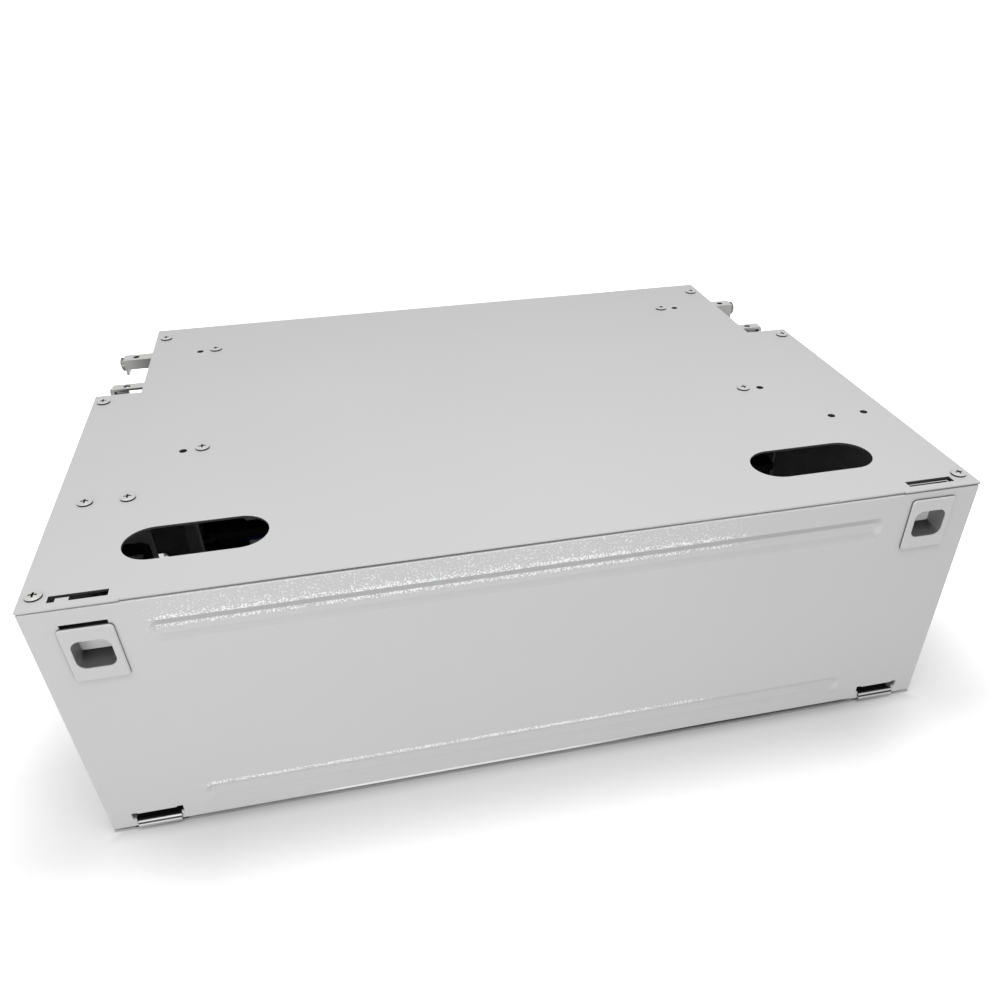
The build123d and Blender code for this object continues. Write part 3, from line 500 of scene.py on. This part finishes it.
def screwPlate():
    material, tree = newMaterial("nickel_plated_screw_head")
    place = addNode(tree, "ShaderNodeTexCoord")
    axes = addNode(tree, "ShaderNodeSeparateXYZ", inputs={"Vector": place.outputs["Object"]})
    facing = addNode(tree, "ShaderNodeSeparateXYZ", inputs={"Vector": place.outputs["Normal"]})
    # painted shade on the rim's side wall and in the cross recess
    rim = addNode(tree, "ShaderNodeMapRange", inputs={
        "Value": facing.outputs["Z"], "From Min": screwHead["rimTo"],
        "From Max": screwHead["rimFrom"], "To Min": 1.0, "To Max": 0.0})
    recessTop = screwHead["seat"] + screwHead["recess"]
    deep = addNode(tree, "ShaderNodeMapRange", inputs={
        "Value": axes.outputs["Z"], "From Min": recessTop,
        "From Max": recessTop + screwHead["recessEdge"], "To Min": 1.0, "To Max": 0.0})
    dark = addNode(tree, "ShaderNodeMath", {"operation": "MAXIMUM"}, {
        0: rim.outputs["Result"], 1: deep.outputs["Result"]})
    mixed = addNode(tree, "ShaderNodeMix", {"data_type": "RGBA"}, {
        0: dark.outputs[0], 6: linear(screwHead["crown"]), 7: linear(screwHead["paintedShade"])})
    shader = addNode(tree, "ShaderNodeBsdfPrincipled", inputs={
        "Base Color": mixed.outputs[2], "Metallic": screwHead["metallic"],
        "Roughness": patchyRoughness(tree, place.outputs["Object"], screwHead["streaks"])})
    addNode(tree, "ShaderNodeOutputMaterial", inputs={"Surface": shader.outputs[0]})
    return material


# the base is coated too, but its two hinge curls are worn to bare steel, bright with fine streaks
# along X and with painted shade at their tops; painted shade darkens the coat around them
hinge = {
    "middle": 0.2162,
    "half": 0.0142,
    "behind": 0.022,
    "curlFrom": 0.0019,
    "curlTo": 0.0025,
    "steel": "c6c6c5",
    "curlTopShade": "3c3c3c",
    "curlTopShadeUp": [(4.2, 0.0), (4.6, 1.0), (5.2, 1.0), (5.5, 0.0)],
    "hingeShade": "1c1c1c",
    "streakStretch": (0.05, 1.0, 1.0),
    "streaks": {"mm": 0.7, "detail": 2.0, "low": 0.18, "high": 0.55},
    "frontal": -0.7,
    "edgeAcross": [
        (-241, 0.4), (-205, 0.5), (-188, 1.0), (-160, 0.9), (-140, 0.3), (-120, 0.0), (20, 0.0),
        (60, 0.9), (200, 1.0), (212, 0.4), (241, 0.3),
    ],
}


# the base's coat: painted shade around the hinges, and a painted shadow line along its front edge
def baseTone(tree, place, colour, front):
    axes = addNode(tree, "ShaderNodeSeparateXYZ", inputs={"Vector": place.outputs["Object"]})
    facing = addNode(tree, "ShaderNodeSeparateXYZ", inputs={"Vector": place.outputs["Normal"]})
    fromMiddle = addNode(tree, "ShaderNodeMath", {"operation": "ABSOLUTE"}, {0: axes.outputs["X"]})
    # painted shade on the base around each hinge, seen through the door's slots
    nearHinge = addNode(tree, "ShaderNodeMath", {"operation": "COMPARE"}, {
        0: fromMiddle.outputs[0], 1: hinge["middle"], 2: hinge["half"]})
    inFront = addNode(tree, "ShaderNodeMath", {"operation": "LESS_THAN"}, {
        0: axes.outputs["Y"], 1: front + hinge["behind"]})
    hingeShade = addNode(tree, "ShaderNodeMath", {"operation": "MULTIPLY"}, {
        0: nearHinge.outputs[0], 1: inFront.outputs[0]})
    # painted shadow line on the base's front edge, under the door
    frontal = addNode(tree, "ShaderNodeMath", {"operation": "LESS_THAN"}, {
        0: facing.outputs["Y"], 1: hinge["frontal"]})
    edge = addNode(tree, "ShaderNodeMath", {"operation": "MULTIPLY"}, {
        0: frontal.outputs[0], 1: profileAlong(tree, axes.outputs["X"], hinge["edgeAcross"])})
    toned = addNode(tree, "ShaderNodeMix", {"data_type": "RGBA"}, {
        0: hingeShade.outputs[0], 6: colour, 7: linear(hinge["hingeShade"])})
    edged = addNode(tree, "ShaderNodeMix", {"data_type": "RGBA"}, {
        0: edge.outputs[0], 6: toned.outputs[2], 7: linear(coat["gapShadow"])})
    return edged.outputs[2]


def bareCurl(tree, place):
    axes = addNode(tree, "ShaderNodeSeparateXYZ", inputs={"Vector": place.outputs["Object"]})
    sweep = addNode(tree, "ShaderNodeMapping", inputs={
        "Vector": place.outputs["Object"], "Scale": hinge["streakStretch"]})
    curlTopShade = profileAlong(tree, axes.outputs["Z"], hinge["curlTopShadeUp"])    # painted shade at the curl's top, where it enters the door's slot
    steel = addNode(tree, "ShaderNodeMix", {"data_type": "RGBA"}, {
        0: curlTopShade, 6: linear(hinge["steel"]), 7: linear(hinge["curlTopShade"])})
    bare = addNode(tree, "ShaderNodeBsdfPrincipled", inputs={
        "Base Color": steel.outputs[2], "Metallic": 1.0,
        "Roughness": patchyRoughness(tree, sweep.outputs["Vector"], hinge["streaks"])})
    return bare.outputs[0]


def wornBase():
    material, tree = newMaterial("powder_coated_steel_with_bare_curls")
    place, colour = coatBase(tree)
    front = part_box("base_plate")[0][1]
    coated = coatShader(tree, place, baseTone(tree, place, colour, front))
    axes = addNode(tree, "ShaderNodeSeparateXYZ", inputs={"Vector": place.outputs["Object"]})
    curl = addNode(tree, "ShaderNodeMapRange", inputs={
        "Value": axes.outputs["Y"], "From Min": front + hinge["curlFrom"],
        "From Max": front + hinge["curlTo"], "To Min": 1.0, "To Max": 0.0})
    both = addNode(tree, "ShaderNodeMixShader", inputs={
        0: curl.outputs["Result"], 1: coated, 2: bareCurl(tree, place)})
    addNode(tree, "ShaderNodeOutputMaterial", inputs={"Surface": both.outputs[0]})
    return material


# moulded ABS and like plastics: even colour with a spark-eroded grain, drawn coarser so that it shows
moulding = {"mm": 0.6, "depthMm": 0.01, "detail": 1.0, "strength": 0.5}


def mouldedPlastic(name, colourHex, roughness):
    material, tree = newMaterial(name)
    place = addNode(tree, "ShaderNodeTexCoord")
    shader = addNode(tree, "ShaderNodeBsdfPrincipled", inputs={
        "Base Color": linear(colourHex), "Roughness": roughness,
        "Normal": fineGrain(tree, place.outputs["Object"], moulding)})
    addNode(tree, "ShaderNodeOutputMaterial", inputs={"Surface": shader.outputs[0]})
    return material


# the latch grips: painted light and shade in the pocket, a painted shadow line along the plate's back
# edge
grip = {
    "colour": "cbcbcb",
    "roughness": 0.42,
    "floorFront": "5a5a5a",
    "floorBack": "101010",
    "sideWall": "858585",
    "backWall": "f4f4f4",
    "outline": "4c4c4c",
    "proudMm": 1.5,
    "depthMm": 12.5,
    "rimMm": 0.3,
    "borderMm": 1.2,
    "shadowStripMm": 0.75,
    "shadowStripEdgeMm": 0.2,
    "floorFrom": 0.35,
    "floorTo": 0.75,
    "backFrom": -0.6,
    "backTo": -0.9,
    "darkFrom": 0.4,
    "darkTo": 0.97,
}


# 1 on the painted shadow strip around the back of the grip's plate, and 1 on the whole border
def gripBorder(tree, point, face, middle, half):
    axes = addNode(tree, "ShaderNodeSeparateXYZ", inputs={"Vector": point})
    sides = addNode(tree, "ShaderNodeSeparateXYZ", inputs={
        "Vector": beyondBox(tree, point, middle, half)})
    nearest = addNode(tree, "ShaderNodeMath", {"operation": "MAXIMUM"}, {
        0: sides.outputs["X"], 1: sides.outputs["Z"]})
    border = addNode(tree, "ShaderNodeMath", {"operation": "GREATER_THAN"}, {
        0: nearest.outputs[0], 1: -grip["borderMm"] / 1000})
    shadowStripFront = face + (grip["proudMm"] - grip["shadowStripMm"]) / 1000
    shadowStrip = addNode(tree, "ShaderNodeMapRange", inputs={
        "Value": axes.outputs["Y"], "From Min": shadowStripFront - grip["shadowStripEdgeMm"] / 1000,
        "From Max": shadowStripFront})
    outline = addNode(tree, "ShaderNodeMath", {"operation": "MULTIPLY"}, {
        0: border.outputs[0], 1: shadowStrip.outputs["Result"]})
    return outline.outputs[0], border.outputs[0]


# the grip's colour: even in front, and in its pocket painted light and shade: a lit back wall, shaded
# grey sides and a floor painted darker inwards
def pocketColour(tree, place, face):
    axes = addNode(tree, "ShaderNodeSeparateXYZ", inputs={"Vector": place.outputs["Object"]})
    facing = addNode(tree, "ShaderNodeSeparateXYZ", inputs={"Vector": place.outputs["Normal"]})
    floor = addNode(tree, "ShaderNodeMapRange", inputs={
        "Value": facing.outputs["Z"], "From Min": grip["floorFrom"], "From Max": grip["floorTo"]})
    frontal = addNode(tree, "ShaderNodeMapRange", inputs={
        "Value": facing.outputs["Y"], "From Min": grip["backFrom"], "From Max": grip["backTo"]})
    deep = addNode(tree, "ShaderNodeMapRange", inputs={
        "Value": axes.outputs["Y"], "From Min": face + grip["darkFrom"] * grip["depthMm"] / 1000,
        "From Max": face + grip["darkTo"] * grip["depthMm"] / 1000})
    bottom = addNode(tree, "ShaderNodeMix", {"data_type": "RGBA"}, {
        0: deep.outputs["Result"], 6: linear(grip["floorFront"]), 7: linear(grip["floorBack"])})
    walls = addNode(tree, "ShaderNodeMix", {"data_type": "RGBA"}, {
        0: frontal.outputs["Result"], 6: linear(grip["sideWall"]), 7: linear(grip["backWall"])})
    pocket = addNode(tree, "ShaderNodeMix", {"data_type": "RGBA"}, {
        0: floor.outputs["Result"], 6: walls.outputs[2], 7: bottom.outputs[2]})
    inside = addNode(tree, "ShaderNodeMapRange", inputs={
        "Value": axes.outputs["Y"], "From Min": face + grip["rimMm"] / 1000,
        "From Max": face + 2 * grip["rimMm"] / 1000})
    body = addNode(tree, "ShaderNodeMix", {"data_type": "RGBA"}, {
        0: inside.outputs["Result"], 6: linear(grip["colour"]), 7: pocket.outputs[2]})
    return body.outputs[2]


def gripPlastic(node):
    material, tree = newMaterial("moulded_abs_of_" + node)
    low, high = (Vector(corner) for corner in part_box(node))
    place = addNode(tree, "ShaderNodeTexCoord")
    outline, border = gripBorder(tree, place.outputs["Object"], low.y, (low + high) / 2,
                                 (high - low) / 2)
    edged = addNode(tree, "ShaderNodeMix", {"data_type": "RGBA"}, {
        0: border, 6: pocketColour(tree, place, low.y), 7: linear(grip["colour"])})
    mixed = addNode(tree, "ShaderNodeMix", {"data_type": "RGBA"}, {
        0: outline, 6: edged.outputs[2], 7: linear(grip["outline"])})
    shader = addNode(tree, "ShaderNodeBsdfPrincipled", inputs={
        "Base Color": mixed.outputs[2], "Roughness": grip["roughness"],
        "Normal": fineGrain(tree, place.outputs["Object"], moulding)})
    addNode(tree, "ShaderNodeOutputMaterial", inputs={"Surface": shader.outputs[0]})
    return material


# the bolts: light tips, painted shade on their sides
bolt = {
    "tip": "d4d4d4",
    "sides": "262626",
    "sideFrom": 0.6,
    "tipFrom": 0.9,
    "smears": {"mm": 4.0, "detail": 2.0, "low": 0.35, "high": 0.6},
}


def boltPlastic():
    material, tree = newMaterial("moulded_acetal_with_painted_shade_on_sides")
    place = addNode(tree, "ShaderNodeTexCoord")
    facing = addNode(tree, "ShaderNodeSeparateXYZ", inputs={"Vector": place.outputs["Normal"]})
    # painted shade on the upright sides, the plastic's light colour on the tip
    tip = addNode(tree, "ShaderNodeMapRange", inputs={
        "Value": facing.outputs["Z"], "From Min": bolt["sideFrom"], "From Max": bolt["tipFrom"]})
    mixed = addNode(tree, "ShaderNodeMix", {"data_type": "RGBA"}, {
        0: tip.outputs["Result"], 6: linear(bolt["sides"]), 7: linear(bolt["tip"])})
    shader = addNode(tree, "ShaderNodeBsdfPrincipled", inputs={
        "Base Color": mixed.outputs[2],
        "Roughness": patchyRoughness(tree, place.outputs["Object"], bolt["smears"])})
    addNode(tree, "ShaderNodeOutputMaterial", inputs={"Surface": shader.outputs[0]})
    return material


# the tray lids: thin clear polycarbonate, which shows what lies under it with a soft gloss
lid = {"colour": "eef2f4", "roughness": 0.08, "ior": 1.2}


def clearSheet():
    material, tree = newMaterial("clear_polycarbonate")
    glass = addNode(tree, "ShaderNodeBsdfPrincipled", inputs={
        "Base Color": linear(lid["colour"]), "Roughness": lid["roughness"],
        "Transmission Weight": 1.0, "IOR": lid["ior"]})
    addNode(tree, "ShaderNodeOutputMaterial", inputs={"Surface": glass.outputs[0]})
    return material


finishes = {
    "powder_coat": powderCoat(),
    "zinc": brightPlate("nickel_plated_steel", plate["top"], plate["side"]),
    "latch_plastic": mouldedPlastic("moulded_abs_light_grey", grip["colour"], grip["roughness"]),
    "rail_plastic": mouldedPlastic("moulded_nylon_black", "161617", 0.45),    # black, half matt
    "tray_plastic": mouldedPlastic("moulded_abs_black", "19191a", 0.45),    # black, a trace lighter
    "adapter_plastic": mouldedPlastic("moulded_pbt_dark_blue", "15264a", 0.4),    # deep blue, soft gloss
    "comb_plastic": mouldedPlastic("moulded_abs_white", "dededa", 0.4),    # warm white, soft gloss
    "clear_lid": clearSheet(),
    "rubber": mouldedPlastic("black_epdm_rubber", "161616", 0.7),    # black and dull
}
screwHeads = screwPlate()
boltFinish = boltPlastic()
clampScrews = brightPlate("nickel_plated_clamp_screws", plate["clampScrew"], plate["clampScrew"])
ownFinish = {
    "front_door": speckledCoat(), "base_plate": wornBase(), "top_cover": cutSheetCoat(),
    "cover_screws": screwHeads, "cage_screws": screwHeads, "bracket_screws": screwHeads,
    "latch_grip_left": gripPlastic("latch_grip_left"),
    "latch_grip_right": gripPlastic("latch_grip_right"),
    "latch_bolt_left": boltFinish, "latch_bolt_right": boltFinish,
    "sheath_screws_left": clampScrews, "sheath_screws_right": clampScrews,
    "core_screws_left": clampScrews, "core_screws_right": clampScrews,
}
slotOf = {part["node"]: part["material_slot"] for part in frame["record"]["subparts"]}
for node, cadObject in frame["nodes"].items():
    material = ownFinish.get(node) or finishes[slotOf[node]]
    if not cadObject.material_slots:
        cadObject.data.materials.append(material)
    for materialSlot in cadObject.material_slots:
        materialSlot.material = material
print("finishes on the fixed parts")

# simplex adapters in the trays' walls, with a ribbed dust cap at both ends; sizes in mm
adapter = {
    "trays": 6, "count": 12, "gap": 4.0,
    "bodyWidth": 13.0, "bodyLength": 27.0, "height": 9.4, "edge": 0.5,
    "flange": 2.0, "flangeEdge": 0.3,
    "keyWidth": 4.0, "keyShare": 0.8, "keyRise": 0.5, "keySunk": 0.2, "keyEdge": 0.15,
    "screwHead": 2.6, "screwRise": 0.35, "screwSides": 16, "screwRounding": 0.4,
    "capLength": 8.0, "capWidth": 11.4, "capHeight": 7.8, "collar": 1.6, "collarEdge": 0.4,
    "gripWidth": 8.4, "gripHeight": 5.6, "gripSunk": 0.4, "gripEdge": 0.9,
    "ribs": 3, "ribFirst": 1.6, "ribPitch": 1.7, "ribWidth": 9.4, "ribThickness": 0.7,
    "ribShare": 0.8, "ribEdge": 0.2,
    "housing": "1d3a78", "cap": "e6e6e1",
}


# adds a rounded block to a mesh, all in mm
def addBlock(mesh, size, middle, edge):
    corners = bmesh.ops.create_cube(mesh, size=1.0)["verts"]
    bmesh.ops.scale(mesh, vec=size, verts=corners)
    bmesh.ops.translate(mesh, vec=middle, verts=corners)
    edges = {e for vert in corners for e in vert.link_edges}
    bmesh.ops.bevel(mesh, geom=list(edges), offset=edge, offset_type="OFFSET", segments=2,
                    profile=0.5, affect="EDGES", material=-1)


# adds a screw head that lies along Y, with both rims chamfered
def addDisc(mesh, radius, height, middle):
    place = Matrix.Translation(middle) @ Matrix.Rotation(math.pi / 2, 4, "X")
    made = bmesh.ops.create_cone(mesh, cap_ends=True, segments=adapter["screwSides"], radius1=radius,
                                 radius2=radius, depth=height, matrix=place)
    edges = {e for vert in made["verts"] for e in vert.link_edges}
    rims = [e for e in edges if max(len(f.verts) for f in e.link_faces) > 4]    # around the round ends
    bmesh.ops.bevel(mesh, geom=rims, offset=height * adapter["screwRounding"], offset_type="OFFSET",
                    segments=1, profile=0.5, affect="EDGES", material=-1)


def oneHousing():
    mesh = bmesh.new()
    addBlock(mesh, (adapter["bodyWidth"], adapter["bodyLength"], adapter["height"]), (0, 0, 0),
             adapter["edge"])
    addBlock(mesh, (adapter["flangeWidth"], adapter["flange"], adapter["height"]),
             (0, -adapter["flange"] / 2, 0), adapter["flangeEdge"])
    keyMiddle = adapter["height"] / 2 + adapter["keyRise"] / 2 - adapter["keySunk"] / 2
    addBlock(mesh, (adapter["keyWidth"], adapter["keyShare"] * adapter["bodyLength"],
                    adapter["keyRise"] + adapter["keySunk"]), (0, 0, keyMiddle), adapter["keyEdge"])
    screwX = (adapter["flangeWidth"] + adapter["bodyWidth"]) / 4
    for side in (-1, 1):
        addDisc(mesh, adapter["screwHead"] / 2, adapter["screwRise"],
                (side * screwX, -adapter["flange"] - adapter["screwRise"] / 2, 0))
    return mesh


def oneCapPair():
    mesh = bmesh.new()
    for side in (-1, 1):
        start = side * adapter["bodyLength"] / 2
        addBlock(mesh, (adapter["capWidth"], adapter["collar"], adapter["capHeight"]),
                 (0, start + side * adapter["collar"] / 2, 0), adapter["collarEdge"])
        gripLength = adapter["capLength"] - adapter["collar"]
        gripMiddle = adapter["collar"] + gripLength / 2 - adapter["gripSunk"] / 2
        addBlock(mesh, (adapter["gripWidth"], gripLength + adapter["gripSunk"], adapter["gripHeight"]),
                 (0, start + side * gripMiddle, 0), adapter["gripEdge"])
        for rib in range(adapter["ribs"]):
            along = adapter["collar"] + adapter["ribFirst"] + rib * adapter["ribPitch"]
            addBlock(mesh, (adapter["ribWidth"], adapter["ribThickness"],
                            adapter["ribShare"] * adapter["gripHeight"]),
                     (0, start + side * along, 0), adapter["ribEdge"])
    return mesh


# from one adapter to the next, in mm, where a row of them fills a CAD node's box
def rowPitch(node):
    low, high = (Vector(corner) * 1000 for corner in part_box(node))
    return (high.x - low.x + adapter["gap"]) / adapter["count"]


# a row of twelve in the place of a tray's adapter node
def adapterRow(name, single, node, material):
    low, high = (Vector(corner) * 1000 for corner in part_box(node))
    pitch = rowPitch(node)
    row = bmesh.new()
    for place in range(adapter["count"]):
        before = len(row.verts)
        row.from_mesh(single)
        row.verts.ensure_lookup_table()
        middle = ((place - (adapter["count"] - 1) / 2) * pitch, (low.y + high.y) / 2,
                  (low.z + high.z) / 2)
        bmesh.ops.translate(row, vec=middle, verts=row.verts[before:])
    bmesh.ops.scale(row, vec=(0.001, 0.001, 0.001), verts=row.verts)
    data = bpy.data.meshes.new(name)
    row.to_mesh(data)
    row.free()
    data.materials.append(material)
    piece = bpy.data.objects.new(name, data)
    bpy.context.scene.collection.objects.link(piece)
    return piece


adapter["flangeWidth"] = rowPitch("adapters_1") - adapter["gap"]
singles = {}
for word, maker in (("housing", oneHousing), ("cap", oneCapPair)):
    shape = maker()
    singles[word] = bpy.data.meshes.new("single_" + word)
    shape.to_mesh(singles[word])
    shape.free()
housingFinish = mouldedPlastic("moulded_pbt_blue", adapter["housing"], 0.38)    # blue, soft gloss
capFinish = mouldedPlastic("moulded_polyethylene_natural", adapter["cap"], 0.45)    # milky, half matt
for number in range(1, adapter["trays"] + 1):
    node, body = "adapters_%d" % number, "tray_drawer_%d" % number
    housings = adapterRow("adapter_housings_%d" % number, singles["housing"], node, housingFinish)
    caps = adapterRow("dust_caps_%d" % number, singles["cap"], node, capFinish)
    for piece in (housings, caps):
        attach(piece, body)
        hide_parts(node)
print("adapters with dust caps in all trays")
